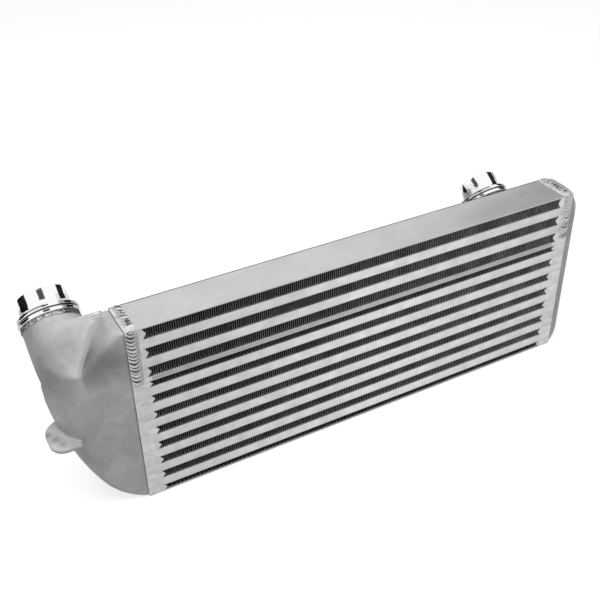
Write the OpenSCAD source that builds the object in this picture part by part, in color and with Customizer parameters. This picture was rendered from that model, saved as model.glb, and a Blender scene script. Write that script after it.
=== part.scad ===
// Bar-and-plate intercooler: a brazed core between two hollow cast end tanks,
// each with a turned spigot that points up and to the rear.
// The origin is the middle of the core's underside. X runs along the core,
// Y from its front face to its rear face, and Z is up.

/* [Core] */
// Length of the cooling rows between the two stacks of end bars
fin_len = 484; // [300:1:640]
// Width of each end bar, along the core
end_bar_w = 16; // [12:1:30]
// Depth of the core, from its front face to its rear face
core_d = 45; // [38:1:70]
// Thickness of the top plate and of the bottom plate
plate_t = 1.5; // [1:0.1:3]
// Thickness of each parting sheet
sheet_t = 0.5; // [0.3:0.1:1]

/* [Rows] */
// Height of the three tall cooling rows at the top
tall_row_h = 11.4; // [9:0.1:15]
// Height of an ordinary cooling row
row_h = 9.4; // [7:0.1:13]
// Height of the low cooling rows: the fourth and the last
low_row_h = 6.8; // [5:0.1:9]
// Height of an ordinary tube row
tube_h = 9.2; // [7:0.1:12]
// Height of the thin tube row, the third from the top
thin_tube_h = 4.2; // [3:0.1:7]
// Depth of the bars that close the tube rows at the front and at the rear
bar_d = 5; // [4:0.5:8]
// How far the pointed nose of an end bar stands into its cooling row
nose_len = 3.5; // [1:0.5:6]

/* [Fins] */
// Length of one full wave of a cooling fin
fin_pitch = 4.4; // [4:0.1:12]
// Thickness of the folded sheet of a cooling fin
fin_t = 0.3; // [0.2:0.05:0.6]
// How far a cooling fin stays behind the front and rear faces
fin_setback = 0.6; // [0.2:0.1:2]
// Length of one full wave of a turbulator
turb_pitch = 5; // [4:0.1:12]
// Thickness of the folded sheet of a turbulator
turb_t = 0.4; // [0.2:0.05:0.8]
// Room between a turbulator and the bars beside it
turb_gap = 0.4; // [0.2:0.1:1]

/* [Castings] */
// Wall thickness of the cast tanks
wall = 4; // [3:0.5:6]
// How far a tank's mouth is set back from the faces of the core
mouth_step = 1; // [0.5:0.1:2]
// Radius of the round boss that carries a spigot
boss_r = 28; // [27:0.5:32]
// How far the right boss runs down from its spigot's seat
right_boss_reach = 62; // [56:1:70]
// Lean of both spigots from upright towards the rear, in degrees
spigot_lean = 55; // [48:1:62]

/* [Left tank] */
// How far the left tank reaches out from the end of the core
left_reach = 75.5; // [72.5:1:83.5]
// Where the left tank's shoulder starts to fall, out from the core
left_shoulder = 8; // [6:1:12]
// How far the left tank's widest point lies below the top of the core
left_knee = 63; // [56:1:72]
// Draft of the left tank's front and rear walls, per millimetre of reach
left_draft = 0.1; // [0.05:0.01:0.15]
// How far above the widest point the swept lower edge would stand upright
sweep_rise = 11; // [6:1:14]
// Bulge of the swept lower edge: 1 is straight and 2 is a quarter ellipse
sweep_power = 1.8; // [1.4:0.05:2]
// Distance of the left spigot's centre line from the end of the core
left_spigot_out = 47; // [44:1:50]
// Height of the left spigot's seat below the top of the core
left_spigot_drop = 22; // [18:1:28]
// How far the left spigot's seat lies behind the front face of the core
left_spigot_back = 80; // [76:1:86]
// Thickness of the web between the left boss and the core's end
web_t = 10; // [6:1:16]
// Distance from the left spigot's seat down to the upper end of that web
web_drop = 12; // [8:1:18]
// Height of the ear's upper face above the underside of the core
ear_z = 93; // [80:1:104]
// Thickness of the ear
ear_t = 4.5; // [3:0.5:8]
// How far the ear stands out from the left tank's side
ear_out = 14; // [10:1:20]
// Radius of the ear's front corner
ear_r = 14; // [8:1:16]

/* [Right tank] */
// How far the right tank reaches out from the end of the core
right_reach = 24; // [18:1:30]
// Depth over which the right tank's front wall curves round to its side
right_curve = 32; // [24:1:36]
// Height of the rounded lower edge of the right tank
right_foot_r = 16; // [10:1:24]
// How far the right tank's shoulder falls from its top to its side
right_fall = 20; // [14:1:28]
// Height over which the right tank swells to its full depth
right_swell_h = 110; // [60:1:130]
// How far the right tank's top slopes back, per millimetre that it falls
right_back_slope = 1.2; // [1:0.1:1.6]
// Room between the rear face of the core and the duct behind it
duct_gap = 6; // [5:0.5:12]
// Depth of the duct where it leaves the tank
duct_d = 44; // [36:1:50]
// Height of the duct where it leaves the tank
duct_h = 96; // [80:1:110]
// How far the middle of that end lies below the top of the core
duct_mid_drop = 80; // [76:1:90]
// Distance of the right spigot's centre line inward from the end of the core
right_spigot_in = 55; // [50:1:64]
// Height of the right spigot's seat below the top of the core
right_spigot_drop = 35; // [30:1:40]
// How far the right spigot's seat lies behind the front face of the core
right_spigot_back = 80; // [79:1:90]

/* [Spigots] */
// Outside radius of the tube that takes the hose
tube_r = 25.5; // [24.5:0.5:26]
// Wall thickness of the tube
tube_wall = 3; // [2:0.5:4]
// Length of a spigot from its seat to its rim
spigot_len = 28; // [26:1:40]
// Radius of the lower collar, which sits on the boss
collar_r = 30.7; // [30:0.1:33]
// Height of each of the two collars
collar_h = 3.4; // [2.5:0.1:4]
// Height of the groove between the collars
groove_h = 1.8; // [1:0.1:2.5]
// Length of the flare between the upper collar and the straight tube
flare_len = 10; // [4:0.5:12]

/* [Weld beads] */
// Width of the bead that joins a tank to the core
bead_w = 12; // [6:0.5:14]
// Height of that bead above the faces of the core
bead_h = 1.4; // [1:0.1:2.2]
// Length of the bead down the front at the left end
left_bead_len = 62; // [20:1:120]
// Length of the bead down the front at the right end
right_bead_len = 44; // [20:1:120]
// Radius of the bead around the foot of a spigot
foot_bead_r = 1.8; // [1:0.1:2.5]

/* [Hidden] */
SHEETS = 20;
COOLING_ROWS = 11;
TUBE_ROWS = 10;

function two_digits(n) = str(n < 10 ? "0" : "", n);

$fn = 96;

// Rows are counted from the top of the core down.
cooling_h = [
    for (i = [1 : COOLING_ROWS])
        i <= 3 ? tall_row_h : (i == 4 || i == COOLING_ROWS) ? low_row_h : row_h
];
tube_row_h = [for (i = [1 : TUBE_ROWS]) i == 3 ? thin_tube_h : tube_h];

function sum(v, n, i = 0) = i >= n ? 0 : v[i] + sum(v, n, i + 1);

core_len = fin_len + 2 * end_bar_w;
core_h = 2 * plate_t + sum(cooling_h, COOLING_ROWS) + sum(tube_row_h, TUBE_ROWS) + SHEETS * sheet_t;
front_y = -core_d / 2;
rear_y = core_d / 2;
bore_r = tube_r - tube_wall;

// Underside of cooling row n, and of tube row n.
function cooling_z(n) =
    core_h - plate_t - sum(cooling_h, n) - sum(tube_row_h, n - 1) - 2 * (n - 1) * sheet_t;
function tube_z(n) = cooling_z(n) - sheet_t - tube_row_h[n - 1];

// Folded sheet

// Square waves of sheet t thick that fill a strip of the given length and height,
// with the crests flat against both faces.
module folded_strip(length, height, pitch, t) {
    waves = max(1, floor(length / pitch));
    p = (length - t) / (waves + 0.5);
    top = [
        for (i = [0 : waves]) each [
            [i * p, t],
            [i * p, height],
            [i * p + p / 2 + t, height],
            [i * p + p / 2 + t, t]
        ]
    ];
    under = [
        for (i = [0 : waves]) each [
            [i * p + t, 0],
            [i * p + t, height - t],
            [i * p + p / 2, height - t],
            [i * p + p / 2, 0]
        ]
    ];
    polygon(concat(
        [[0, 0]],
        [for (i = [1 : len(top) - 2]) top[i]],
        [top[len(top) - 1] - [0, t]],
        [for (i = [len(under) - 1 : -1 : 0]) under[i]]
    ));
}

module cooling_fin(n) {
    room = fin_len - 2 * nose_len;
    color("dimgray")
        translate([-room / 2, rear_y - fin_setback, cooling_z(n)])
            rotate([90, 0, 0])
                linear_extrude(core_d - 2 * fin_setback)
                    folded_strip(room, cooling_h[n - 1], fin_pitch, fin_t);
}

module turbulator(n) {
    room = core_d - 2 * (bar_d + turb_gap);
    color("gray")
        translate([-core_len / 2, -room / 2, tube_z(n)])
            rotate([90, 0, 90])
                linear_extrude(core_len)
                    folded_strip(room, tube_row_h[n - 1], turb_pitch, turb_t);
}

// Plates, sheets and bars

module core_slab(z, t) {
    translate([-core_len / 2, front_y, z])
        cube([core_len, core_d, t]);
}

module top_plate() {
    color("gainsboro") core_slab(core_h - plate_t, plate_t);
}

module bottom_plate() {
    color("gainsboro") core_slab(0, plate_t);
}

// Odd sheets close a tube row from above, even ones from below.
module parting_sheet(n) {
    row = ceil(n / 2);
    z = n % 2 == 1 ? cooling_z(row) - sheet_t : tube_z(row) - sheet_t;
    color("silver") core_slab(z, sheet_t);
}

module long_bars(y) {
    color("gainsboro")
        for (n = [1 : TUBE_ROWS])
            translate([-core_len / 2, y, tube_z(n)])
                cube([core_len, bar_d, tube_row_h[n - 1]]);
}

// Outline of an end bar: its nose points in at the cooling row.
module end_bar_outline(h) {
    polygon([[0, 0], [end_bar_w, 0], [end_bar_w + nose_len, h / 2], [end_bar_w, h], [0, h]]);
}

module left_end_bars() {
    color("gainsboro")
        for (n = [1 : COOLING_ROWS])
            translate([-core_len / 2, rear_y, cooling_z(n)])
                rotate([90, 0, 0])
                    linear_extrude(core_d) end_bar_outline(cooling_h[n - 1]);
}

module right_end_bars() {
    mirror([1, 0, 0]) left_end_bars();
}

// Lofts

// Skin over a stack of rings that all have the same number of points.
module loft(rings) {
    n = len(rings[0]);
    last = len(rings) - 1;
    sides = [
        for (k = [0 : last - 1], i = [0 : n - 1])
            let (a = k * n + i, b = k * n + (i + 1) % n)
                each [[a, b + n, b], [a, a + n, b + n]]
    ];
    caps = [[for (i = [0 : n - 1]) i], [for (i = [n - 1 : -1 : 0]) last * n + i]];
    polyhedron(points = [for (r = rings) each r], faces = concat(sides, caps));
}

function mix(a, b, t) = a + (b - a) * min(1, max(0, t));

// Ring at height z of a tank's side walls. u runs out from the end of the core and
// v back from its front face. The front corner is a quarter ellipse of [u, v] size,
// cut short where the rounded rear corner begins.
function wall_ring(z, u0, u1, v0, v1, draft, corner, rear_r) =
    let (
        rr = min(rear_r, 0.8 * (u1 - u0)),
        cu = min(corner[0], 0.9 * (u1 - u0)),
        front = v0 + draft * (u1 - u0 - cu),
        back = v1 + draft * (u1 - u0),
        turn = acos(max(0, 1 - (back - rr - front) / corner[1])),
        side = u1 - cu + cu * sin(turn)
    )
    concat(
        [[u0, v0, z]],
        [for (k = [0 : 9])
            let (a = turn * k / 9)
            [u1 - cu + cu * sin(a), front + corner[1] * (1 - cos(a)), z]],
        [for (a = [0 : 18 : 90]) [side - rr + rr * cos(a), back - rr + rr * sin(a), z]],
        [[u0, v1, z]]
    );

// Left tank

knee_z = core_h - left_knee;

// Reach of the left tank up to the knee: a swept lower edge.
function sweep_at(z, inset) =
    let (low = mouth_step + inset, upright = knee_z + sweep_rise)
    (left_reach - inset)
        * pow(max(0, 1 - pow((upright - z) / (upright - low), sweep_power)), 1 / sweep_power);

// Above the knee a shoulder falls away from the core in a straight line.
function left_reach_at(z, inset) =
    z < knee_z
        ? sweep_at(z, inset)
        : mix(
            sweep_at(knee_z, inset), left_shoulder,
            (z - knee_z) / (core_h - mouth_step - inset - knee_z)
        );

// The front corner opens from sharp at the foot to wide at the knee,
// and closes again up the shoulder.
function left_corner_at(z) =
    z < knee_z
        ? [mix(44, 6, (knee_z - z) / 117), mix(57, 10, (knee_z - z) / 117)]
        : [mix(44, 6, (z - knee_z) / 26), mix(57, 8, (z - knee_z) / 26)];

module left_body(inset) {
    low = mouth_step + inset;
    top = core_h - mouth_step - inset;
    heights = concat(
        [for (k = [0 : 12]) low + (knee_z - low) * pow(k / 12, 1.6)],
        [for (k = [1 : 7]) knee_z + (top - knee_z) * k / 7]
    );
    start = inset > 0 ? wall : 0;
    loft([
        for (z = heights)
            wall_ring(
                z, start, max(start + 3, left_reach_at(z, inset)),
                mouth_step + inset, core_d - mouth_step - inset,
                left_draft, left_corner_at(z), 6
            )
    ]);
}

// Axis frame of a spigot: its seat is at z = 0 and it points along +z.
module at_spigot(out, back, drop) {
    translate([out, back, core_h - drop])
        rotate([-spigot_lean, 0, 0])
            children();
}

// Space between the left tank's front and side walls, carried straight up from the knee.
// The boss keeps just inside it.
module left_bounds(inset) {
    gap = inset + 0.3;
    loft([
        for (z = [for (k = [6 : -1 : 0]) knee_z - 10 * k, core_h + 40])
            wall_ring(
                z, wall, left_reach_at(min(z, knee_z), 0) - gap,
                mouth_step + gap, 150, left_draft, left_corner_at(min(z, knee_z)), 6
            )
    ]);
}

// Round boss, and a web whose flat top runs on from the boss to the shoulder.
module left_boss(inset) {
    reach = 86;
    intersection() {
        at_spigot(left_spigot_out, left_spigot_back, left_spigot_drop)
            union() {
                translate([0, 0, inset - reach])
                    cylinder(r = boss_r - inset, h = reach + (inset > 0 ? 1 : 0));
                if (inset == 0)
                    translate([3 - left_spigot_out, -boss_r, -reach])
                        cube([left_spigot_out - 3, web_t, reach - web_drop]);
            }
        left_bounds(inset);
    }
}

// Ear: a flat tab with two round corners and a flare back along the side wall.
module ear() {
    side = left_reach_at(ear_z, 0);
    tip = side + ear_out;
    front_v = 4;
    big_r = 18;
    translate([0, 0, ear_z - ear_t])
        linear_extrude(ear_t)
            union() {
                translate([tip - ear_r, front_v + ear_r]) circle(r = ear_r);
                translate([tip - big_r, front_v + ear_r + 13]) circle(r = big_r);
                polygon([
                    [side - 14, front_v],
                    [tip - ear_r, front_v],
                    [tip, front_v + ear_r],
                    [tip, front_v + ear_r + 13],
                    [tip - big_r + big_r * cos(50), front_v + ear_r + 13 + big_r * sin(50)],
                    [side - 6, core_d + 9],
                    [side - 14, core_d]
                ]);
            }
}

// The opening through which a tank feeds the core. A small lip stands in from the wall.
module mouth() {
    rim = mouth_step + wall + 1;
    translate([-1, rim, rim])
        cube([wall + 2, core_d - 2 * rim, core_h - 2 * rim]);
}

// A tank is drawn in u, v, z and then put at its end of the core.
module at_left_end() {
    translate([-core_len / 2, front_y, 0])
        mirror([1, 0, 0])
            children();
}

module at_right_end() {
    translate([core_len / 2, front_y, 0])
        children();
}

module left_tank() {
    color("darkgray")
        at_left_end()
            difference() {
                union() {
                    left_body(0);
                    left_boss(0);
                    ear();
                }
                left_body(wall);
                left_boss(wall);
                mouth();
            }
}

// Right tank

// Reach of the right tank at height z: a rounded foot, an upright side
// and a shoulder that falls away from the core.
function right_reach_at(z, inset) =
    let (
        low = mouth_step + inset,
        top = core_h - mouth_step - inset,
        out = right_reach - inset,
        foot = low + right_foot_r,
        fall = top - right_fall
    )
    z < foot ? out * sqrt(max(0, 1 - pow((foot - z) / right_foot_r, 2)))
    : z > fall ? mix(out, 7, (z - fall) / right_fall)
    : out;

// Depth of the right tank at height z: it swells to the rear as it rises,
// and slopes forward again to the top.
function right_depth_at(z, inset) =
    let (
        low = mouth_step + inset,
        top = core_h - mouth_step - inset,
        near = core_d - mouth_step - inset,
        swell = duct_gap + duct_d - mouth_step
    )
    near + min(
        swell * pow(1 - pow(1 - min(1, (z - low) / right_swell_h), sweep_power), 1 / sweep_power),
        (top - z) * right_back_slope
    );

module right_body(inset) {
    low = mouth_step + inset;
    top = core_h - mouth_step - inset;
    heights = concat(
        [for (a = [0 : 15 : 90]) low + right_foot_r * (1 - cos(a))],
        [for (k = [1 : 7]) low + right_foot_r + (right_swell_h - right_foot_r) * k / 7],
        [for (k = [0 : 5]) top - 2.2 * right_fall * (1 - k / 5)]
    );
    start = inset > 0 ? wall : 0;
    loft([
        for (z = heights)
            let (out = max(start + 3, right_reach_at(z, inset)))
            wall_ring(
                z, start, out, mouth_step + inset, right_depth_at(z, inset),
                0, [out, right_curve], 12
            )
    ]);
}

// Ring of the duct in a plane across the core's length: a rounded oblong.
function duct_ring(u, v, z, half_v, half_z) = [
    for (a = [0 : 15 : 345])
        let (c = cos(a), s = sin(a))
        [u, v + half_v * sign(c) * pow(abs(c), 0.75), z + half_z * sign(s) * pow(abs(s), 0.75)]
];

// The duct narrows from the tank's rear to the spigot's boss, ends round, and stays
// clear of the plane of the spigot's seat.
module right_duct(inset) {
    u0 = right_reach / 2;
    u1 = -right_spigot_in;
    steps = 6;
    near = core_d + duct_gap;
    end_d = 0.45 * duct_d;
    crest = pow(
        pow(end_d * sin(spigot_lean), 1.6) + pow(boss_r * cos(spigot_lean), 1.6), 0.625
    );
    below = (near + end_d - right_spigot_back) * sin(spigot_lean) + crest + foot_bead_r + 1;
    drop = right_spigot_drop + below / cos(spigot_lean);
    run = [
        for (k = [0 : steps])
            let (t = min(1, 1.6 * k / steps), e = t * t * (3 - 2 * t), d = mix(duct_d / 2, end_d, e))
            duct_ring(
                mix(u0, u1, k / steps), near + d, core_h - mix(duct_mid_drop, drop, e),
                d - inset, mix(duct_h / 2, boss_r, e) - inset
            )
    ];
    round_end = [
        for (a = [15 : 15 : 75])
            duct_ring(
                u1 - (boss_r - inset) * sin(a), near + end_d, core_h - drop,
                (end_d - inset) * cos(a), (boss_r - inset) * cos(a)
            )
    ];
    mirror([1, 0, 0])
        loft([for (r = concat(run, round_end)) [for (p = r) [-p[0], p[1], p[2]]]]);
}

// The boss keeps just inside the duct's front wall: only what lies behind it is kept.
module right_boss(inset) {
    front = core_d + duct_gap + inset + 0.7;
    side = boss_r + 12;
    intersection() {
        at_spigot(-right_spigot_in, right_spigot_back, right_spigot_drop)
            translate([0, 0, -right_boss_reach])
                cylinder(
                    r = boss_r - inset - (inset > 0 ? 1 : 0),
                    h = right_boss_reach + (inset > 0 ? 1 : 0)
                );
        translate([-right_spigot_in - side, front, 0])
            cube([2 * side, right_spigot_back + side, core_h + side]);
    }
}

module right_tank() {
    color("darkgray")
        at_right_end()
            difference() {
                union() {
                    right_body(0);
                    right_duct(0);
                    right_boss(0);
                }
                right_body(wall);
                right_duct(wall);
                right_boss(wall);
                mouth();
            }
}

// Spigots

// Turned from bar: two collars with a groove between them, then a flare that runs
// out into the straight tube for the hose.
module spigot() {
    collar_top = 2 * collar_h + groove_h;
    flare_r = collar_r - 2;
    color("lightgray")
        rotate_extrude()
            polygon(concat(
                [
                    [bore_r, 0],
                    [collar_r - 0.5, 0],
                    [collar_r, 0.5],
                    [collar_r, collar_h - 0.5],
                    [collar_r - 0.5, collar_h],
                    [collar_r - 2.4, collar_h],
                    [collar_r - 2.4, collar_h + groove_h],
                    [collar_r - 1.1, collar_h + groove_h],
                    [collar_r - 0.6, collar_h + groove_h + 0.5],
                    [collar_r - 0.6, collar_top - 0.5],
                    [collar_r - 1.1, collar_top]
                ],
                [for (a = [0 : 15 : 90]) [
                    tube_r + (flare_r - tube_r) * (1 - sin(a)),
                    collar_top + flare_len * (1 - cos(a))
                ]],
                [
                    [tube_r, spigot_len - 0.7],
                    [tube_r - 0.7, spigot_len],
                    [bore_r, spigot_len]
                ]
            ));
}

module spigot_foot_bead() {
    color("silver")
        rotate_extrude()
            translate([boss_r, 0])
                intersection() {
                    circle(r = foot_bead_r, $fn = 24);
                    translate([0, -foot_bead_r]) square([foot_bead_r, foot_bead_r]);
                }
}

module left_spigot() {
    at_left_end() at_spigot(left_spigot_out, left_spigot_back, left_spigot_drop) spigot();
}

module right_spigot() {
    at_right_end() at_spigot(-right_spigot_in, right_spigot_back, right_spigot_drop) spigot();
}

module left_spigot_weld() {
    at_left_end()
        at_spigot(left_spigot_out, left_spigot_back, left_spigot_drop) spigot_foot_bead();
}

module right_spigot_weld() {
    at_right_end()
        at_spigot(-right_spigot_in, right_spigot_back, right_spigot_drop) spigot_foot_bead();
}

// Tank welds

// Cross-section of a bead that lies on y = 0: a low arc, bead_w wide.
module bead_section() {
    r = (bead_w * bead_w / 4 + bead_h * bead_h) / (2 * bead_h);
    intersection() {
        translate([0, bead_h - r]) circle(r = r);
        translate([-bead_w / 2, 0]) square([bead_w, bead_h]);
    }
}

// Beads across the top, down the whole rear and part of the way down the front.
module tank_weld(front_len) {
    color("silver")
        translate([-core_len / 2 + bead_w / 2, 0, 0]) {
            translate([0, front_y, core_h - front_len])
                linear_extrude(front_len)
                    mirror([0, 1, 0]) bead_section();
            translate([0, rear_y, 0])
                linear_extrude(core_h)
                    bead_section();
            translate([0, rear_y, core_h])
                rotate([90, 0, 0])
                    linear_extrude(core_d) bead_section();
        }
}

module left_tank_weld() {
    tank_weld(left_bead_len);
}

module right_tank_weld() {
    mirror([1, 0, 0]) tank_weld(right_bead_len);
}

top_plate();
bottom_plate();
for (i = [1 : SHEETS])
    parting_sheet(i);
for (i = [1 : COOLING_ROWS])
    cooling_fin(i);
for (i = [1 : TUBE_ROWS])
    turbulator(i);
long_bars(front_y);  // front_bars
long_bars(rear_y - bar_d);  // rear_bars
left_end_bars();
right_end_bars();
left_tank();
right_tank();
left_spigot();
right_spigot();
left_tank_weld();
right_tank_weld();
left_spigot_weld();
right_spigot_weld();
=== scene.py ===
import math
import random

import bmesh
import bpy
from mathutils import Matrix, Vector, noise


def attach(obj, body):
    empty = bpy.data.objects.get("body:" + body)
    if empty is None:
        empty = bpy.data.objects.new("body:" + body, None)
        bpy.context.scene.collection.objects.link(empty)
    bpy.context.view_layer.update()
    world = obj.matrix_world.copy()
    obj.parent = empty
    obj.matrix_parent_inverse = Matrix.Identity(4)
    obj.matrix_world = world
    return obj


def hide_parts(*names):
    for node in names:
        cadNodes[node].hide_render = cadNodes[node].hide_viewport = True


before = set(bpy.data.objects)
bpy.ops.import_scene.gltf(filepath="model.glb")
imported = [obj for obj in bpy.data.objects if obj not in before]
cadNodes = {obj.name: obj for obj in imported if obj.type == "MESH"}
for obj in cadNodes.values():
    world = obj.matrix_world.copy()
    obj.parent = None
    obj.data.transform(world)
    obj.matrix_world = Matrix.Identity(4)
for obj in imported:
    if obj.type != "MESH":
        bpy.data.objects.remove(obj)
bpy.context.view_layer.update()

mm = 0.001
scene = bpy.context.scene


# Camera

photoView = {
    "place": (-0.42095, -0.66736, 0.68145),
    "forward": (0.38232, 0.72906, -0.56689),
    "up": (0.28227, 0.49217, 0.82363),
    "lens": 54.816,
}


def makeCamera(look):
    data = bpy.data.cameras.new("photoCamera")
    data.lens = look["lens"]
    data.sensor_width = 36
    data.clip_start = 0.01
    camera = bpy.data.objects.new("photoCamera", data)
    forward = Vector(look["forward"]).normalized()
    right = forward.cross(Vector(look["up"])).normalized()
    up = right.cross(forward)
    camera.matrix_world = Matrix.Translation(look["place"]) @ Matrix(
        (right, up, -forward)
    ).transposed().to_4x4()
    scene.collection.objects.link(camera)
    scene.camera = camera


makeCamera(photoView)
print("scene: camera set")


# Materials

def addNode(tree, kind, settings=None, inputs=None):
    node = tree.nodes.new(kind)
    for key, value in (settings or {}).items():
        setattr(node, key, value)
    for key, value in (inputs or {}).items():
        node.inputs[key].default_value = value
    return node


def addNoise(tree, scale, detail=3.0, stretch=(1, 1, 1), rough=0.55, turn=(0, 0, 0)):
    place = addNode(tree, "ShaderNodeTexCoord")
    mapping = addNode(
        tree, "ShaderNodeMapping", inputs={"Scale": stretch, "Rotation": turn}
    )
    tree.links.new(place.outputs["Object"], mapping.inputs["Vector"])
    node = addNode(
        tree, "ShaderNodeTexNoise",
        inputs={"Scale": scale, "Detail": detail, "Roughness": rough},
    )
    tree.links.new(mapping.outputs["Vector"], node.inputs["Vector"])
    return node.outputs["Fac"]


def addRange(tree, value, low, high, toLow, toHigh):
    node = addNode(
        tree, "ShaderNodeMapRange",
        inputs={"From Min": low, "From Max": high, "To Min": toLow, "To Max": toHigh},
    )
    tree.links.new(value, node.inputs["Value"])
    return node.outputs["Result"]


def addMix(tree, factor, first, second, blend="MIX"):
    node = addNode(tree, "ShaderNodeMix", {"data_type": "RGBA", "blend_type": blend})
    for key, value in ((0, factor), (6, first), (7, second)):
        if isinstance(value, bpy.types.NodeSocket):
            tree.links.new(value, node.inputs[key])
        else:
            node.inputs[key].default_value = value
    return node.outputs[2]


def addTone(tree, colour, tone):
    return addMix(tree, 1.0, colour, tone, "MULTIPLY")


def addBump(tree, height, distance, strength, before=None):
    node = addNode(
        tree, "ShaderNodeBump", inputs={"Distance": distance, "Strength": strength}
    )
    tree.links.new(height, node.inputs["Height"])
    if before is not None:
        tree.links.new(before, node.inputs["Normal"])
    return node.outputs["Normal"]


def grey(value):
    return (value, value, value, 1)


def around(amount):
    return 1 - amount, 1 + amount


def addObjectPart(tree, part):
    place = addNode(tree, "ShaderNodeTexCoord")
    parts = addNode(tree, "ShaderNodeSeparateXYZ")
    tree.links.new(place.outputs["Object"], parts.inputs["Vector"])
    return parts.outputs[part]


# A tone for the stretch within half a width of a place, measured along one axis.
def addBand(tree, part, middle, half, tone):
    away = addNode(tree, "ShaderNodeMath", {"operation": "SUBTRACT"}, {1: middle})
    tree.links.new(addObjectPart(tree, part), away.inputs[0])
    size = addNode(tree, "ShaderNodeMath", {"operation": "ABSOLUTE"})
    tree.links.new(away.outputs[0], size.inputs[0])
    return addRange(tree, size.outputs[0], half, half + mm, tone, 1)


# A tone that fades out with the distance from a point.
def addPatch(tree, middle, radius, tone):
    place = addNode(tree, "ShaderNodeTexCoord")
    away = addNode(tree, "ShaderNodeVectorMath", {"operation": "DISTANCE"})
    tree.links.new(place.outputs["Object"], away.inputs[0])
    away.inputs[1].default_value = Vector(middle) * mm
    return addRange(tree, away.outputs["Value"], 0, radius * mm, tone, 1)


# One on the side of a plane that its direction points to, and nought on the other.
def addSide(tree, point, direction, width):
    place = addNode(tree, "ShaderNodeTexCoord")
    dot = addNode(tree, "ShaderNodeVectorMath", {"operation": "DOT_PRODUCT"})
    tree.links.new(place.outputs["Object"], dot.inputs[0])
    dot.inputs[1].default_value = direction
    edge = Vector(point).dot(Vector(direction)) * mm
    return addRange(tree, dot.outputs["Value"], edge, edge + width * mm, 0, 1)


def newMaterial(name, metallic, specular):
    material = bpy.data.materials.new(name)
    material.use_nodes = True
    shader = material.node_tree.nodes["Principled BSDF"]
    shader.inputs["Metallic"].default_value = metallic
    shader.inputs["Specular IOR Level"].default_value = specular
    return material, material.node_tree, shader


def linkSurface(tree, shader, colour, rough, normal):
    tree.links.new(colour, shader.inputs["Base Color"])
    tree.links.new(rough, shader.inputs["Roughness"])
    tree.links.new(normal, shader.inputs["Normal"])


# Noise mostly stays within these spans, so a range over one uses all its tones.
cloudSpan, spotSpan = (0.32, 0.68), (0.35, 0.65)
grainSpan, spottedSpan = (0.3, 0.7), (0.4, 0.6)

# What the metals share: scales of noise, and how deep the marks lie in metres.
metalDetail = {
    "specular": 0.5, "spotScale": 95, "spottedScale": 420, "sideFade": 2.5,
    "streakDepth": 0.00004, "streakBump": 0.25,
    "scratchScale": 16, "scratchStretch": (1, 26, 26), "scratchFade": 0.04,
    "scratchShare": 0.5, "scratchShine": 1.12,
    "scratchDepth": 0.00002, "scratchBump": 0.3,
    "lineFade": 0.4, "lineLow": 0.3, "lineHigh": 0.15,
}


def addStreaks(tree, look, colour, normal):
    streak = addNoise(tree, look["streakScale"], 5, look["streak"], 0.7)
    tone = addRange(tree, streak, *grainSpan, *around(look["streakTone"]))
    normal = addBump(
        tree, streak, metalDetail["streakDepth"], metalDetail["streakBump"], normal
    )
    return addTone(tree, colour, tone), normal


def addScratches(tree, look, turn, colour, normal):
    lines = addNoise(
        tree, metalDetail["scratchScale"], 2, metalDetail["scratchStretch"], 0.5, turn
    )
    start = look["scratchFrom"]
    mark = addRange(
        tree, lines, start, start + metalDetail["scratchFade"],
        0, metalDetail["scratchShare"]
    )
    bright = grey(look["light"] * metalDetail["scratchShine"])
    colour = addMix(tree, mark, colour, bright)
    normal = addBump(
        tree, mark, metalDetail["scratchDepth"], metalDetail["scratchBump"], normal
    )
    return colour, normal


# Painted shade: a dark line along the edge where the core's rear meets its top.
def addRearEdgeShade(tree, rearEdgeShade, colour):
    rear, top, tone = rearEdgeShade
    line = addNode(tree, "ShaderNodeMath", {"operation": "MULTIPLY"})
    back = addRange(
        tree, addObjectPart(tree, "Y"),
        rear * mm, (rear + metalDetail["lineFade"]) * mm, 0, 1
    )
    up = addRange(
        tree, addObjectPart(tree, "Z"),
        (top - metalDetail["lineLow"]) * mm, (top - metalDetail["lineHigh"]) * mm, 0, 1
    )
    tree.links.new(back, line.inputs[0])
    tree.links.new(up, line.inputs[1])
    return addMix(tree, line.outputs[0], colour, grey(tone))


# Painted light and marks: a painted highlight ramped along X, a darker band on the thin
# bar, spots of darker tone, patches of painted shade, painted highlight and real marks, and
# painted shade on one side of a plane. Middles and radii are in mm.
def addPaintedLightAndMarks(tree, look, colour):
    # Painted highlight: tones ramped along X.
    for low, high, toLow, toHigh in look.get("along", ()):
        tone = addRange(tree, addObjectPart(tree, "X"), low, high, toLow, toHigh)
        colour = addTone(tree, colour, tone)
    # A darker band across the thin bar, over most of the core's width.
    if "thinBar" in look:
        middle, half, tone, reach = look["thinBar"]
        darkBand = addTone(tree, colour, addBand(tree, "Z", middle, half, tone))
        colour = addMix(tree, addBand(tree, "X", 0, reach, 0), darkBand, colour)
    for middle, radius, tone in look.get("spotted", ()):
        spots = addNoise(tree, metalDetail["spottedScale"], 3)
        spots = addRange(tree, spots, *spottedSpan, tone, 1)
        near = addPatch(tree, middle, radius, 0)
        colour = addMix(tree, near, addTone(tree, colour, spots), colour)
    # Painted shade, painted highlights and real marks, each fading from a point.
    for middle, radius, tone in look.get("shadeLightAndMarks", ()):
        colour = addTone(tree, colour, addPatch(tree, middle, radius, tone))
    # Painted shade on one side of a plane, fading from a point.
    for middle, radius, tone, point, direction in look.get("shadeSidePatches", ()):
        side = addSide(tree, point, direction, metalDetail["sideFade"])
        shaded = addTone(tree, colour, addPatch(tree, middle, radius, tone))
        colour = addMix(tree, side, colour, shaded)
    return colour
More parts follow.
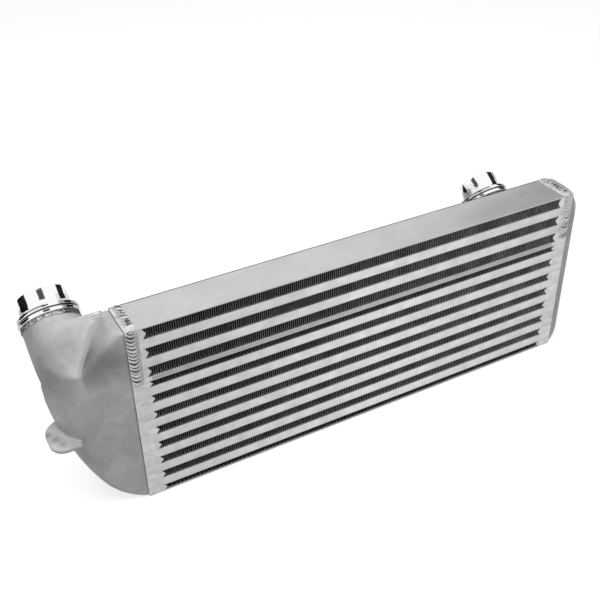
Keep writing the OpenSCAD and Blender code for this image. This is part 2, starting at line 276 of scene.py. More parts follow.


# Metal whose tone drifts in clouds, with a fine grain and, where wanted, brushed
# streaks along one direction, long scratches, marks, and painted shade, highlights and
# reflections.
def makeMetal(name, look):
    material, tree, shader = newMaterial(name, look["metallic"], metalDetail["specular"])
    cloud = addRange(tree, addNoise(tree, look["cloudScale"], 4), *cloudSpan, 0, 1)
    colour = addMix(tree, cloud, grey(look["dark"]), grey(look["light"]))
    if "mottle" in look:
        spots = addNoise(tree, metalDetail["spotScale"], 6, rough=0.7)
        spots = addRange(tree, spots, *spotSpan, *around(look["mottle"]))
        colour = addTone(tree, colour, spots)
    grain = addNoise(tree, look["grainScale"], 2)
    tone = addRange(tree, grain, *grainSpan, *around(look["grainTone"]))
    colour = addTone(tree, colour, tone)
    rough = addRange(tree, grain, *grainSpan, *look["rough"])
    normal = addBump(tree, grain, look["grainDepth"], look["grainBump"])
    if "streak" in look:
        colour, normal = addStreaks(tree, look, colour, normal)
    for turn in look.get("scratches", ()):
        colour, normal = addScratches(tree, look, turn, colour, normal)
    colour = addPaintedLightAndMarks(tree, look, colour)
    if "rearEdgeShade" in look:
        colour = addRearEdgeShade(tree, look["rearEdgeShade"], colour)
    # The crest attribute carries painted shade, painted highlights and painted reflections.
    if "crest" in look:
        crest = addNode(tree, "ShaderNodeAttribute", {"attribute_name": "crest"})
        low, high, dark = look["crest"]
        tone = addRange(tree, crest.outputs["Fac"], low, high, dark, 1)
        colour = addTone(tree, colour, tone)
    linkSurface(tree, shader, colour, rough, normal)
    return material


barLook = {
    "metallic": 0.75, "dark": 0.64, "light": 0.77, "rough": (0.34, 0.50),
    "mottle": 0.06, "cloudScale": 60, "grainScale": 1000, "grainTone": 0.05,
    "grainDepth": 0.00008, "grainBump": 0.25,
    "streak": (1, 12, 12), "streakScale": 60, "streakTone": 0.04,
    # painted highlight: the bars grow darker towards both ends of the core
    "along": ((-0.25, -0.02, 0.76, 1), (0.03, 0.25, 1, 0.9)),
}
# polished metal, darkened through the crest attribute by painted shade and painted
# reflections
polishedLook = {
    "metallic": 1.0, "dark": 0.95, "light": 0.98, "rough": (0.06, 0.10),
    "cloudScale": 60, "grainScale": 900, "grainTone": 0.01,
    "grainDepth": 0.00001, "grainBump": 0.05, "crest": (0, 1, 0.08),
}
metals = {
    "cast": makeMetal("castAluminium", {
        "metallic": 0.1, "dark": 0.34, "light": 0.48, "rough": (0.42, 0.60),
        "mottle": 0.09, "cloudScale": 26, "grainScale": 700, "grainTone": 0.05,
        "grainDepth": 0.00018, "grainBump": 0.35,
        "scratches": ((0, 0, 0.5), (0.4, 0.9, 0)), "scratchFrom": 0.73,
        "shadeLightAndMarks": (
            # painted shade on the left tank's shoulder and under its boss, lighter patches
            # on its front wall, dark marks on its ear, and painted shade and a painted
            # highlight on its boss
            ((-276, -21, 182), 30, 0.74), ((-262, -20, 176), 22, 0.8),
            ((-326, 22, 155), 44, 0.55),
            ((-289, -22, 96), 34, 1.2), ((-262, -22, 120), 26, 1.12),
            ((-337, 10, 93), 6, 0.45), ((-332, 0, 93), 7, 0.5), ((-328, -9, 93), 6, 0.6),
            ((-332, 44, 190), 24, 0.66), ((-306, 30, 197), 20, 1.16),
            ((272, 0, 204), 28, 0.55),  # top of the right tank
        ),
        # painted shade below the left tank's shoulder edge, beside the valley by its boss
        "shadeSidePatches": (
            ((-292, -8, 176), 34, 0.3, (-302, -16, 167), (0.69, -0.72, 0.1)),
        ),
    }),
    "plate": makeMetal("brushedPlate", {
        "metallic": 0.6, "dark": 0.50, "light": 0.57, "rough": (0.34, 0.46),
        "cloudScale": 22, "grainScale": 900, "grainTone": 0.03,
        "grainDepth": 0.00006, "grainBump": 0.2,
        "streak": (1, 22, 22), "streakScale": 34, "streakTone": 0.07,
        # painted shade: a dark line along the top plate's rear edge
        "rearEdgeShade": (20.9, 204.2, 0.03),
    }),
    # the bars are darker in a band on the thin bar, across most of the core's width
    "bar": makeMetal(
        "barAluminium", dict(barLook, thinBar=(0.1455, 0.0022, 0.62, 0.238))
    ),
    "endBar": makeMetal("endBarAluminium", dict(
        barLook, dark=0.58, light=0.80, cloudScale=110, mottle=0.12,
        grainTone=0.08, grainBump=0.5
    )),
    "sheet": makeMetal("sheetAluminium", {
        "metallic": 0.8, "dark": 0.55, "light": 0.64, "rough": (0.36, 0.50),
        "cloudScale": 50, "grainScale": 1000, "grainTone": 0.04,
        "grainDepth": 0.00005, "grainBump": 0.2,
    }),
    "weld": makeMetal("weldBead", {
        "metallic": 0.45, "dark": 0.52, "light": 0.74, "rough": (0.22, 0.36),
        "cloudScale": 150, "grainScale": 1400, "grainTone": 0.04,
        "grainDepth": 0.00004, "grainBump": 0.15, "crest": (0.38, 0.98, 0.08),
    }),
    "polished": makeMetal("polishedAluminium", polishedLook),
    # the right spigot: polished, with noise spots of darker tone near two points
    "spottedPolished": makeMetal("spottedAluminium", dict(
        polishedLook, spotted=(((182, 58, 188), 17, 0.3), ((196, 50, 184), 12, 0.45))
    )),
}


# Fins are painted nearly black inside as the shade of their deep channels, and their cut
# front and rear edges are bare metal, with painted shade on the edges deepening to the
# left.
# Two rows are darker in bands.
def makeFinMetal(name, look):
    material, tree, shader = newMaterial(name, look["metallic"], look["specular"])
    depth = addNode(tree, "ShaderNodeMath", {"operation": "ABSOLUTE"})
    tree.links.new(addObjectPart(tree, "Y"), depth.inputs[0])
    edge = addRange(tree, depth.outputs[0], *look["edgeDepths"], 0, 1)
    patchy = addRange(
        tree, addNoise(tree, look["patchScale"], 3), *spotSpan, *look["edgeTones"]
    )
    side = addRange(
        tree, addObjectPart(tree, "X"), -look["sideReach"], look["sideReach"],
        look["leftShadeTone"], 1
    )
    patchy = addTone(tree, patchy, side)
    shadedInside = addRange(
        tree, addNoise(tree, look["insideShadeScale"], 2), *grainSpan, *look["insideShadeTones"]
    )
    colour = addMix(tree, edge, shadedInside, patchy)
    for middle, half, tone in look["lowRows"]:
        colour = addTone(tree, colour, addBand(tree, "Z", middle, half, tone))
    grain = addNoise(tree, look["grainScale"], 2)
    linkSurface(
        tree, shader, colour, addRange(tree, grain, *grainSpan, *look["rough"]),
        addBump(tree, grain, look["grainDepth"], look["grainBump"])
    )
    return material


metals["fin"] = makeFinMetal("finMetal", {
    "metallic": 0.0, "specular": 0.12, "rough": (0.4, 0.6),
    "edgeDepths": (0.0211, 0.02158), "edgeTones": (0.3, 0.56),
    # painted shade: nearly black inside the channels, and darker edges towards the left
    "insideShadeTones": (0.0084, 0.0156),
    "patchScale": 45, "insideShadeScale": 300, "sideReach": 0.25, "leftShadeTone": 0.6,
    "lowRows": ((0.0065, 0.003, 0.35), (0.1395, 0.004, 0.6)),
    "grainScale": 1200, "grainDepth": 0.00005, "grainBump": 0.3,
})
print("scene: metals mixed")


def dress(piece, metal):
    piece.data.materials.clear()
    piece.data.materials.append(metals[metal])


# Pieces

def newPiece(name, mesh, metal, slot, *replaced):
    piece = bpy.data.objects.new(name, mesh)
    scene.collection.objects.link(piece)
    dress(piece, metal)
    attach(piece, "root")
    if replaced:
        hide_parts(*replaced)
    return piece


def shadeByAngle(mesh, degrees):
    mesh.shade_smooth()
    mesh.set_sharp_from_angle(angle=math.radians(degrees))


def meshFrom(name, points, faces):
    mesh = bpy.data.meshes.new(name)
    mesh.from_pydata(points, [], faces)
    mesh.validate()
    return mesh


# A value kept between nought and one.
def share(value):
    return max(0, min(1, value))


# How bright each point of a mesh is: painted shade in grooves and between weld ripples,
# painted reflections on the spigots and painted highlights on the welds.
def setCrests(mesh, values):
    layer = mesh.attributes.new("crest", "FLOAT", "POINT")
    layer.data.foreach_set("value", values)


def weldedCopy(nodeName):
    mesh = cadNodes[nodeName].data.copy()
    work = bmesh.new()
    work.from_mesh(mesh)
    bmesh.ops.remove_doubles(work, verts=work.verts, dist=1e-6)
    work.to_mesh(mesh)
    work.free()
    return mesh


def applyModifiers(piece):
    graph = bpy.context.evaluated_depsgraph_get()
    mesh = bpy.data.meshes.new_from_object(piece.evaluated_get(graph))
    piece.modifiers.clear()
    piece.data = mesh


# Core: the bars and plates keep their CAD shape and get worn edges.

coreLook = {"barBevel": 0.12, "plateBevel": 0.25, "flatAngle": 2, "sharpAngle": 40}


def makeBevelled(nodeName, name, metal, slot, width):
    mesh = weldedCopy(nodeName)
    work = bmesh.new()
    work.from_mesh(mesh)
    bmesh.ops.dissolve_limit(
        work, angle_limit=math.radians(coreLook["flatAngle"]),
        verts=work.verts, edges=work.edges
    )
    bmesh.ops.bevel(
        work, geom=list(work.edges), offset=width * mm, segments=2,
        affect="EDGES", profile=0.5
    )
    work.to_mesh(mesh)
    work.free()
    shadeByAngle(mesh, coreLook["sharpAngle"])
    newPiece(name, mesh, metal, slot, nodeName)


makeBevelled("top_plate", "topPlate", "plate", "plates", coreLook["plateBevel"])
makeBevelled("bottom_plate", "bottomPlate", "plate", "plates", coreLook["plateBevel"])
for barNode, barName, barMetal in (
    ("front_bars", "frontBars", "bar"),
    ("rear_bars", "rearBars", "bar"),
    ("left_end_bars", "leftEndBars", "endBar"),
    ("right_end_bars", "rightEndBars", "endBar"),
):
    makeBevelled(barNode, barName, barMetal, "bars", coreLook["barBevel"])

for nodeName, nodeObject in cadNodes.items():
    if nodeName.startswith("cooling_fin"):
        dress(nodeObject, "fin")
    elif nodeName.startswith(("parting_sheet", "turbulator")):
        dress(nodeObject, "sheet")
print("scene: core dressed")


# Tanks: castings with soft edges, remeshed from the CAD solids.

tankLook = {
    "voxel": 0.9, "softenAll": 4, "softenCrease": 160,
    "mostTriangles": 170000, "sharpAngle": 60,
}


def soften(piece, name, rounds, group=""):
    smooth = piece.modifiers.new(name, "SMOOTH")
    smooth.factor = 0.5
    smooth.iterations = rounds
    smooth.vertex_group = group


# The crease gives a weight for each point in mm, and softens the casting there.
def makeTank(nodeName, name, crease=None):
    piece = newPiece(name, weldedCopy(nodeName), "cast", "castings", nodeName)
    remesh = piece.modifiers.new("remesh", "REMESH")
    remesh.mode = "VOXEL"
    remesh.voxel_size = tankLook["voxel"] * mm
    applyModifiers(piece)
    soften(piece, "all", tankLook["softenAll"])
    if crease:
        group = piece.vertex_groups.new(name="crease")
        for vertex in piece.data.vertices:
            weight = crease(vertex.co / mm)
            if weight > 0:
                group.add([vertex.index], weight, "REPLACE")
        soften(piece, "some", tankLook["softenCrease"], "crease")
    applyModifiers(piece)
    piece.vertex_groups.clear()
    triangles = len(piece.data.vertices) * 2
    if triangles > tankLook["mostTriangles"]:
        thin = piece.modifiers.new("thin", "DECIMATE")
        thin.ratio = tankLook["mostTriangles"] / triangles
        applyModifiers(piece)
    shadeByAngle(piece.data, tankLook["sharpAngle"])
    dress(piece, "cast")


# The edge between the left tank's front wall and its shoulder, in mm. It falls outwards
# from the core's end, and the valley beside the boss stays sharp.
creaseLook = {
    "coreEnd": -258, "inner": 2, "lowest": 138, "rearmost": 14, "front": -16,
    "foot": 141.2, "rise": 62, "outer": 75.5, "run": 67.5,
    "flatten": 0.73, "reach": 27, "fade": 12,
    "valley": (-302, -16, 167), "valleyAlong": (0.574, 0.574, 0.584),
    "valleyGap": 4, "valleyFade": 8,
}


def leftCrease(point):
    look = creaseLook
    out = look["coreEnd"] - point.x
    if out < look["inner"] or point.z < look["lowest"] or point.y > look["rearmost"]:
        return 0
    shoulder = look["foot"] + look["rise"] * (look["outer"] - out) / look["run"]
    away = math.hypot(
        max(0, point.y - look["front"]), (point.z - shoulder) * look["flatten"]
    )
    fromValley = (point - Vector(look["valley"])).cross(Vector(look["valleyAlong"])).length
    return max(0, min(
        1, (look["reach"] - away) / look["fade"],
        (fromValley - look["valleyGap"]) / look["valleyFade"]
    ))


makeTank("left_tank", "leftTank", leftCrease)
makeTank("right_tank", "rightTank")
print("scene: tanks cast")


# Spigots: turned, polished, and much finer than the CAD's own mesh.

spigotLook = {
    "lean": 55, "tube": 25.45, "bore": 22.5, "length": 27.85,
    "collar": 30.65, "collarHeight": 3.4, "edge": 0.6, "upperInset": 0.6,
    "groove": 1.8, "grooveDepth": 2.4, "grooveGap": 0.02,
    "flare": 10, "flareInset": 2, "flareSteps": 12, "endEdge": 0.7, "boreEdge": 0.5,
    "turns": 160, "sharpAngle": 34,
    # the groove between the collars carries painted shade; the bore carries no painted tone
    "grooveShade": 0.9, "grooveShadeDepth": 1.5, "grooveShadeRise": 0.5, "unshadedBore": 1, "toneFade": 5,
}
leftSeat = Vector((-305, 57.5, 182.2))
rightSeat = Vector((203, 57.5, 169.2))


# Points of a rounded edge, from the flat side outwards where it faces down, and from
# the outside inwards where it faces up. Angles are in degrees.
def roundedEdge(radius, height, size, angles, facesDown=False):
    points = []
    for angle in angles:
        a = math.radians(angle)
        if facesDown:
            points.append((radius + size * math.sin(a), height - size * math.cos(a)))
        else:
            points.append((radius + size * math.cos(a), height + size * math.sin(a)))
    return points


# The turned outline as radius and height, from the bore's foot around to its mouth.
def spigotProfile(look):
    bore, tube, collar = look["bore"], look["tube"], look["collar"]
    high, groove, length = look["collarHeight"], look["groove"], look["length"]
    edge, endEdge, gap = look["edge"], look["endEdge"], look["grooveGap"]
    top = 2 * high + groove
    lower, upper = collar - edge, collar - (look["upperInset"] + edge)
    deep, wide = collar - look["grooveDepth"], collar - look["flareInset"]
    profile = [(bore, 0), (lower, 0)]
    profile += roundedEdge(lower, edge, edge, (15, 45, 75, 90), facesDown=True)
    profile += roundedEdge(lower, high - edge, edge, (0, 30, 60, 90))
    profile += [(deep, high + gap), (deep, high + groove - gap)]
    foot = high + groove
    profile += roundedEdge(upper, foot + edge, edge, (0, 30, 60, 90), facesDown=True)
    profile += roundedEdge(upper, top - edge, edge, (0, 45, 90))
    for step in range(look["flareSteps"] + 1):
        a = math.radians(90) * step / look["flareSteps"]
        profile.append((
            tube + (wide - tube) * (1 - math.sin(a)),
            top + look["flare"] * (1 - math.cos(a))
        ))
    profile += [(tube, length - endEdge)]
    profile += roundedEdge(tube - endEdge, length - endEdge, endEdge, (30, 60, 90))
    profile += [(bore + look["boreEdge"], length), (bore, length - look["boreEdge"])]
    return profile


# Degrees from -180 to 180 for a part of a full turn.
def signedAngle(part):
    return (360 * part + 180) % 360 - 180


def seatFrame(seat):
    lean = math.radians(spigotLook["lean"])
    return Matrix.Translation(seat * mm) @ Matrix.Rotation(-lean, 4, "X")


# Painted reflections: tones of the collars and the flare, each from a stretch of heights
# over the seat and a stretch of angles around it, in degrees. Angles below nought face the
# front.
spigotReflectionTones = (
    ((0.1, 3.5), (-178, -131), 0.42), ((0.1, 3.5), (-72, -52), 0.22),
    ((0.1, 3.5), (-52, -2), 0.5),
    ((5.2, 8.0), (-178, -150), 0.6), ((5.2, 8.0), (-75, -2), 0.32),
    ((8.0, 9.3), (-176, -95), 0.06), ((8.0, 9.3), (-76, -4), 0.25),
    ((9.3, 18), (-170, -140), 0.35), ((9.3, 18), (-72, -5), 0.72),
    ((18, 27), (-44, -2), 0.85),
)
# Painted dark reflections, in streaks that only the right spigot shows. They come before
# the shared tones.
rightReflectionStreaks = (
    ((18, 28), (-67, -28), 0.12), ((9.3, 18), (-60, -12), 0.4),
    ((5.2, 9.3), (-66, -4), 0.2),
)


# The tone of a spigot's point: painted shade inside the groove, painted reflections where
# the tones reach, and one elsewhere.
def spigotCrest(radius, height, angle, tones):
    look = spigotLook
    grooveShadeTop = look["collarHeight"] + look["groove"] + look["grooveShadeRise"]
    if radius < look["bore"] + look["unshadedBore"]:
        return 1
    if radius < look["collar"] - look["grooveShadeDepth"] and height < grooveShadeTop:
        return 1 - look["grooveShade"]
    for (low, high), (first, last), tone in tones:
        if low <= height < high:
            inside = share(min(angle - first, last - angle) / look["toneFade"])
            if inside:
                return 1 + (tone - 1) * inside
    return 1


def makeSpigot(name, seat, nodeName, metal, tones):
    profile = spigotProfile(spigotLook)
    turns, count = spigotLook["turns"], len(profile)
    place = seatFrame(seat)
    points = []
    for turn in range(turns):
        a = math.tau * turn / turns
        for radius, height in profile:
            point = Vector((radius * math.cos(a), radius * math.sin(a), height))
            points.append(place @ (point * mm))
    faces = []
    for turn in range(turns):
        here, after = turn * count, (turn + 1) % turns * count
        for k in range(count):
            k2 = (k + 1) % count
            faces.append((here + k, after + k, after + k2, here + k2))
    mesh = meshFrom(name, points, faces)
    setCrests(mesh, [
        spigotCrest(radius, height, signedAngle(turn / turns), tones)
        for turn in range(turns) for radius, height in profile
    ])
    shadeByAngle(mesh, spigotLook["sharpAngle"])
    newPiece(name, mesh, metal, "spigots", nodeName)


makeSpigot("leftSpigot", leftSeat, "left_spigot", "polished", spigotReflectionTones)
makeSpigot("rightSpigot", rightSeat, "right_spigot", "spottedPolished", rightReflectionStreaks + spigotReflectionTones)
print("scene: spigots turned")


# Weld beads: overlapping crescents. A bead runs along a path that gives, for each
# distance, a place, the direction across and the direction that the bead stands in.

# Shared by all beads. Lengths are in mm.
beadDetail = {
    "endEase": 0.35, "jitter": 0.16, "lean": 0.8, "archSides": 2.4, "archTop": 0.7,
    "mostRipple": 1.1, "over": 0.02, "under": 0.12, "underTone": 0.4,
    "roughScale": 0.55, "roughTone": 0.35, "roughSeed": 7.3,
    "plainTone": 0.75, "plainStart": 0.5, "plainSlope": 1.4, "plainShift": 0.1,
    "calmShare": 0.85, "calmFade": 6, "blobLength": 7, "blobFade": 4, "sharpAngle": 60,
}


# One ripple's rise and fall, leaning towards the bead's start.
def scallop(value):
    part = value - math.floor(value)
    return math.sin(math.pi * part ** beadDetail["lean"])


# A share that loses the amount between two ripples, and nothing at a ripple's top.
def rippled(amount, ripple):
    return 1 - amount + amount * ripple


# The tone of a bead's point at a distance s along it and a share t across it: painted shade
# between its ripples, a painted highlight towards its end where asked for, and a rough
# mottle.
def beadCrest(look, length, s, t, ripple, rough):
    detail = beadDetail
    slope = detail["plainSlope"] * (t * look["side"] - detail["plainShift"])
    flat = min(1, look["plain"] * max(0, detail["plainStart"] + slope))
    calm = detail["calmShare"] * share((look["calm"] - s) / detail["calmFade"])
    flat = max(flat, calm)
    bright = look["lift"] + look["rims"] * abs(t) ** 3
    bright += look["endHighlight"] * share((s - length + detail["blobLength"]) / detail["blobFade"])
    level = ripple + (detail["plainTone"] - ripple) * flat
    return level + detail["roughTone"] * rough * look["rough"] + bright


# Points, faces and tones of one bead. Each row has a top that bulges and two points
# under its sides, which lie inside the metal.
def beadParts(length, pathAt, look, closed=False, seed=1):
    detail = beadDetail
    dice = random.Random(seed)
    count = int(length / look["pitch"]) + 8
    jitter = [dice.uniform(-1, 1) for k in range(count)]
    power = [1 + look["uneven"] * dice.uniform(-1, 1) for k in range(count)]
    shift = [look["wander"] * dice.uniform(-1, 1) for k in range(count)]
    steps = max(8, int(length / look["pitch"] * look["steps"]))
    columns, half, full = look["columns"], look["half"], look["height"]
    rows = steps if closed else steps + 1
    points, faces, crests = [], [], []
    stride = columns + 3
    for row in range(rows):
        s = length * row / steps
        origin, across, out = pathAt(s)
        fromEnd = min(s, length - s) / look["pitch"]
        ease = 1 if closed else min(1, (detail["endEase"] + fromEnd) ** 0.5)
        for column in range(columns + 1):
            t = 2 * column / columns - 1
            phase = (s + look["curl"] * half * (1 - t * t)) / look["pitch"] + 2
            index = int(phase) % count
            phase += detail["jitter"] * jitter[index]
            ripple = scallop(phase) * power[index]
            wide = half * rippled(look["pinch"], min(1, ripple)) * ease
            arch = max(0, 1 - abs(t) ** detail["archSides"]) ** detail["archTop"]
            high = full * arch * rippled(look["ripple"], min(detail["mostRipple"], ripple))
            spot = Vector((s, t * half, seed * detail["roughSeed"]))
            rough = noise.noise(spot * detail["roughScale"])
            high = min(full, high * ease * (1 + look["rough"] * rough))
            side = t * wide + shift[index] * arch
            points.append((origin + across * side + out * (high + detail["over"])) * mm)
            crests.append(beadCrest(look, length, s, t, ripple, rough))
        for side in (wide, -wide):
            points.append((origin + across * side - out * detail["under"]) * mm)
            crests.append(detail["underTone"])
    for row in range(steps):
        here, after = row * stride, (row + 1) % rows * stride
        for k in range(stride):
            k2 = (k + 1) % stride
            faces.append((here + k, here + k2, after + k2, after + k))
    if not closed:
        faces.append(tuple(range(stride - 1, -1, -1)))
        faces.append(tuple(range((rows - 1) * stride, rows * stride)))
    return points, faces, crests


def makeWeld(name, beads, *nodeName):
    points, faces, crests = [], [], []
    for beadPoints, beadFaces, beadCrests in beads:
        first = len(points)
        points += beadPoints
        faces += [tuple(first + k for k in face) for face in beadFaces]
        crests += beadCrests
    mesh = bpy.data.meshes.new(name)
    mesh.from_pydata(points, [], faces)
    setCrests(mesh, crests)
    work = bmesh.new()
    work.from_mesh(mesh)
    bmesh.ops.recalc_face_normals(work, faces=work.faces)
    work.to_mesh(mesh)
    work.free()
    shadeByAngle(mesh, beadDetail["sharpAngle"])
    newPiece(name, mesh, "weld", "welds", *nodeName)


def straight(start, along, across, out):
    start, along = Vector(start), Vector(along)
    across, out = Vector(across), Vector(out)
    return lambda s: (start + along * s, across, out)


beadLook = {
    "pitch": 4.1, "steps": 11, "columns": 22, "half": 6.0, "height": 1.35, "ripple": 0.6,
    "curl": -0.6, "pinch": 0.10, "uneven": 0.2, "wander": 0.35, "rough": 0.2,
    "plain": 0.75, "side": 1, "rims": 0, "endHighlight": 0, "calm": 0, "lift": 0,
}
# The top bead ends in a painted highlight at the core's front corner.
topBeadLook = dict(
    beadLook, uneven=0.5, wander=0.4, rough=0.8, ripple=0.3, plain=1.7, pitch=5.2,
    curl=0.15, side=-1, rims=0.35, endHighlight=1.0
)
leftBeadLook = dict(beadLook, length=62)
rightBeadLook = dict(
    beadLook, length=54, uneven=0.4, rough=0.6, plain=0.6, side=-1, calm=24, lift=0.16
)
rearBeadLook = dict(beadLook, steps=7, columns=14, plain=0)
coreHigh, coreHalf, coreDepth = 204.2, 258.0, 22.5


# Three beads where a tank meets the core: part of the way down the front, over the top
# and up the rear.
def makeTankWeld(name, sign, frontLook, nodeName, seed):
    middle = sign * (coreHalf - beadLook["half"])
    across = (1, 0, 0)
    makeWeld(name, (
        beadParts(
            frontLook["length"],
            straight((middle, -coreDepth, coreHigh), (0, 0, -1), across, (0, -1, 0)),
            frontLook, seed=seed
        ),
        beadParts(
            2 * coreDepth,
            straight((middle, coreDepth, coreHigh), (0, -1, 0), across, (0, 0, 1)),
            topBeadLook, seed=seed + 1
        ),
        beadParts(
            coreHigh, straight((middle, coreDepth, 0), (0, 0, 1), across, (0, 1, 0)),
            rearBeadLook, seed=seed + 2
        ),
    ), nodeName)


# A short ribbed run of weld on the left casting, beside the web's upper end.
patchLook = dict(
    beadLook, half=4.4, height=0.9, pitch=2.3, plain=0, ripple=0.6, curl=0.2, lift=0.3,
    length=11, start=(-268.4, 31.0, 197.85), along=(0, -0.82, -0.57), out=(0, -0.57, 0.82)
)


def makePatchWeld(name, look, seed):
    along, out = Vector(look["along"]).normalized(), Vector(look["out"]).normalized()
    path = straight(look["start"], along, (1, 0, 0), out)
    makeWeld(name, (beadParts(look["length"], path, look, seed=seed),))


makePatchWeld("leftWebWeld", patchLook, 71)
makeTankWeld("leftTankWeld", -1, leftBeadLook, "left_tank_weld", 11)
makeTankWeld("rightTankWeld", 1, rightBeadLook, "right_tank_weld", 31)


# The weld around each spigot's foot: a ring lower than the beads, and rougher.
footLook = {
    "pitch": 4.2, "steps": 10, "columns": 12, "half": 2.2, "height": 0.9, "ripple": 0.4,
    "curl": 0.5, "pinch": 0.3, "uneven": 0.9, "wander": 0.4, "rough": 1.5, "radius": 28.0,
    "plain": 2.5, "side": 0, "rims": 0, "endHighlight": 0, "calm": 0, "lift": -0.05,
}
# Painted shade and light on the foot weld: how much of its tone it keeps by the angle
# around the seat.
footShades = (
    (-180, 0.6), (-150, 0.75), (-110, 1.05), (-80, 1), (-62, 0.62), (-20, 0.6),
    (0, 1), (180, 1),
)


def footShadeAt(angle):
    for (first, before), (last, after) in zip(footShades, footShades[1:]):
        if first <= angle <= last:
            return before + (after - before) * (angle - first) / (last - first)
    return 1


def makeFootWeld(name, seat, nodeName, seed):
    place = seatFrame(seat)
    turn = place.to_3x3()
    radius = footLook["radius"]

    def ringAt(s):
        a = s / radius
        outward = Vector((math.cos(a), math.sin(a), 0))
        middle = place @ ((outward * radius + Vector((0, 0, -footLook["half"]))) * mm)
        return middle / mm, turn @ Vector((0, 0, 1)), turn @ outward

    points, faces, crests = beadParts(
        math.tau * radius, ringAt, footLook, closed=True, seed=seed
    )
    stride = footLook["columns"] + 3
    rows = len(points) // stride
    # Painted shade and light by the angle around the seat.
    crests = [
        crest * footShadeAt(signedAngle(k // stride / rows)) for k, crest in enumerate(crests)
    ]
    makeWeld(name, ((points, faces, crests),), nodeName)


makeFootWeld("leftSpigotWeld", leftSeat, "left_spigot_weld", 51)
makeFootWeld("rightSpigotWeld", rightSeat, "right_spigot_weld", 61)
print("scene: welds laid")


# Studio: a pale floor, one broad soft light above and a pale surround.

studio = {
    "surround": 0.28, "floorTone": 0.35, "floorGlow": 0.76,
    "floorHalf": 6, "floorDrop": 0.0004,
    "key": {
        "place": (-0.35, -0.35, 2.0), "aim": (0, 0, 0.1), "size": 2.0, "power": 46,
    },
}


def makeWorld():
    world = bpy.data.worlds.new("studio")
    scene.world = world
    world.use_nodes = True
    tree = world.node_tree
    tree.nodes.clear()
    path = addNode(tree, "ShaderNodeLightPath")
    seen = addNode(tree, "ShaderNodeMath", {"operation": "MAXIMUM"})
    also = addNode(tree, "ShaderNodeMath", {"operation": "MAXIMUM"})
    tree.links.new(path.outputs["Is Camera Ray"], seen.inputs[0])
    tree.links.new(path.outputs["Is Glossy Ray"], seen.inputs[1])
    tree.links.new(seen.outputs[0], also.inputs[0])
    tree.links.new(path.outputs["Is Transmission Ray"], also.inputs[1])
    light = addNode(tree, "ShaderNodeBackground", inputs={
        "Color": grey(1), "Strength": studio["surround"]
    })
    white = addNode(tree, "ShaderNodeBackground", inputs={
        "Color": grey(1), "Strength": 1.0
    })
    mix = addNode(tree, "ShaderNodeMixShader")
    tree.links.new(also.outputs[0], mix.inputs[0])
    tree.links.new(light.outputs[0], mix.inputs[1])
    tree.links.new(white.outputs[0], mix.inputs[2])
    out = addNode(tree, "ShaderNodeOutputWorld")
    tree.links.new(mix.outputs[0], out.inputs["Surface"])


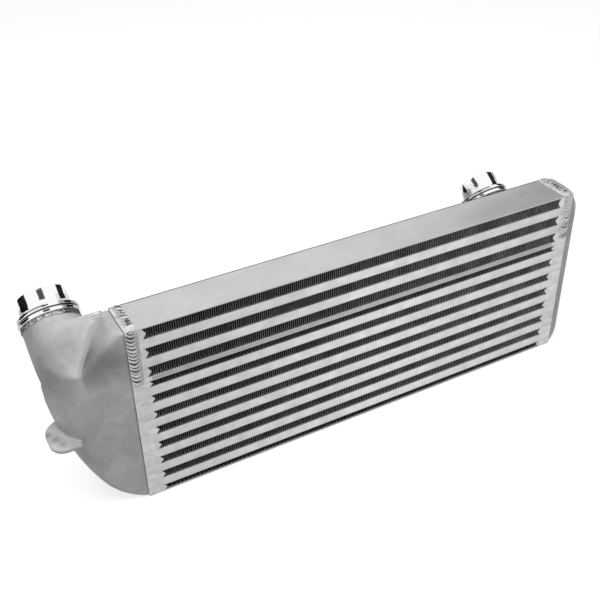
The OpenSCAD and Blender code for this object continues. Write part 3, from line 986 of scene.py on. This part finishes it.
def makeFloor():
    half, low = studio["floorHalf"], -studio["floorDrop"]
    mesh = meshFrom(
        "floor",
        [(-half, -half, low), (half, -half, low), (half, half, low), (-half, half, low)],
        [(0, 1, 2, 3)]
    )
    floor = bpy.data.objects.new("floor", mesh)
    scene.collection.objects.link(floor)
    material = bpy.data.materials.new("floorPaint")
    material.use_nodes = True
    tree = material.node_tree
    tree.nodes.clear()
    path = addNode(tree, "ShaderNodeLightPath")
    seen = addNode(tree, "ShaderNodeMath", {"operation": "MAXIMUM"})
    tree.links.new(path.outputs["Is Camera Ray"], seen.inputs[0])
    tree.links.new(path.outputs["Is Glossy Ray"], seen.inputs[1])
    paint = addNode(tree, "ShaderNodeBsdfDiffuse", inputs={
        "Color": grey(studio["floorTone"])
    })
    glow = addNode(tree, "ShaderNodeEmission", inputs={
        "Color": grey(1), "Strength": studio["floorGlow"]
    })
    both = addNode(tree, "ShaderNodeAddShader")
    mix = addNode(tree, "ShaderNodeMixShader")
    out = addNode(tree, "ShaderNodeOutputMaterial")
    tree.links.new(paint.outputs[0], both.inputs[0])
    tree.links.new(glow.outputs[0], both.inputs[1])
    tree.links.new(seen.outputs[0], mix.inputs[0])
    tree.links.new(paint.outputs[0], mix.inputs[1])
    tree.links.new(both.outputs[0], mix.inputs[2])
    tree.links.new(mix.outputs[0], out.inputs["Surface"])
    floor.data.materials.append(material)


def makeLight(name, look):
    data = bpy.data.lights.new(name, "AREA")
    data.shape = "DISK"
    data.size = look["size"]
    data.energy = look["power"]
    lamp = bpy.data.objects.new(name, data)
    lamp.location = look["place"]
    aim = Vector(look["aim"]) - Vector(look["place"])
    lamp.rotation_euler = aim.to_track_quat("-Z", "Y").to_euler()
    lamp.visible_glossy = False
    scene.collection.objects.link(lamp)


# Dark boards out of the picture, which only reflections see: they draw the streaks
# on the polished spigots.
boards = {
    "left": {
        "middle": (-0.835, 0.345, 0.28), "tilt": 0, "turn": 62,
        "size": (0.40, 0.42), "tone": 0.02,
    },
    "right": {
        "middle": (2.07, 0.83, 1.095), "tilt": 0, "turn": -72,
        "size": (1.9, 1.25), "tone": 0.03,
    },
    "above": {
        "middle": (-0.445, -0.17, 1.4), "tilt": 90, "turn": 0,
        "size": (0.48, 0.52), "tone": 0.3,
    },
}


def makeBoard(name, look):
    wide, high = look["size"][0] / 2, look["size"][1] / 2
    mesh = meshFrom(
        name, [(-wide, 0, -high), (wide, 0, -high), (wide, 0, high), (-wide, 0, high)],
        [(0, 1, 2, 3)]
    )
    board = bpy.data.objects.new(name, mesh)
    board.location = look["middle"]
    board.rotation_euler = (math.radians(look["tilt"]), 0, math.radians(look["turn"]))
    scene.collection.objects.link(board)
    material = bpy.data.materials.new(name)
    material.use_nodes = True
    shader = material.node_tree.nodes["Principled BSDF"]
    shader.inputs["Base Color"].default_value = grey(look["tone"])
    shader.inputs["Roughness"].default_value = 1
    shader.inputs["Specular IOR Level"].default_value = 0
    mesh.materials.append(material)
    board.visible_camera = False
    board.visible_diffuse = False
    board.visible_shadow = False
    board.visible_transmission = False


makeWorld()
makeFloor()
makeLight("keyLight", studio["key"])
for boardName, boardLook in boards.items():
    makeBoard(boardName + "Board", boardLook)
scene.view_settings.view_transform = "Standard"
print("scene: studio lit")
